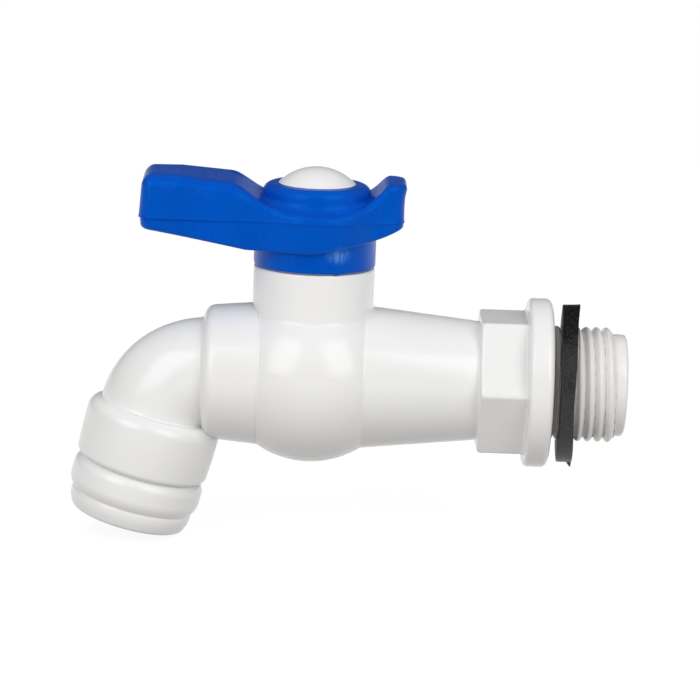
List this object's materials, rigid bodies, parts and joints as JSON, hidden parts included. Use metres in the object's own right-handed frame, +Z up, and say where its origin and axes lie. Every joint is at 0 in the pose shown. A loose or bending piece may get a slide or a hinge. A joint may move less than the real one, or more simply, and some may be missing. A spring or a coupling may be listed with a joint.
{
  "type": "hose bibb",
  "caption": "Small plastic ball tap for a wall outlet, with a lever handle, a downturned ringed spout, a hexagon and flange, and a male pipe thread with a rubber washer.",
  "frame": {"origin": "on the inlet axis at the outer face of the inlet washer, where the wall fitting's face would be", "axes": "+X along the inlet thread into the wall fitting, +Z up along the stem towards the lever, the spout points to -X and down"},
  "size_m": [0.1005, 0.0316, 0.0689],
  "materials": {
    "white_plastic": "glossy moulded plastic",
    "blue_plastic": "satin moulded plastic",
    "grey_plastic": "moulded plastic",
    "seat_plastic": "low-friction plastic",
    "black_rubber": "moulded rubber",
    "steel": "plain"
  },
  "bodies": {
    "housing": {"body": "white_plastic", "spout": "white_plastic", "spout_seal": "black_rubber", "seat_carrier": "grey_plastic", "seat_inlet": "seat_plastic", "seat_outlet": "seat_plastic", "seat_ring_inlet": "black_rubber", "seat_ring_outlet": "black_rubber", "thrust_washer": "seat_plastic", "gland_nut": "grey_plastic", "gland_ring": "black_rubber", "inlet_washer": "black_rubber"},
    "lever": {"handle": "blue_plastic", "stem": "grey_plastic", "stem_ring_lower": "black_rubber", "stem_ring_upper": "black_rubber", "ball": "grey_plastic", "handle_screw": "steel", "screw_washer": "steel", "cap": "white_plastic"}
  },
  "joints": [
    {"name": "lever_turn", "type": "hinge", "parent": "housing", "child": "lever", "pos_m": [-0.0484, 0, 0], "axis": [0, 0, 1], "range_deg": [-90, 0]}
  ]
}
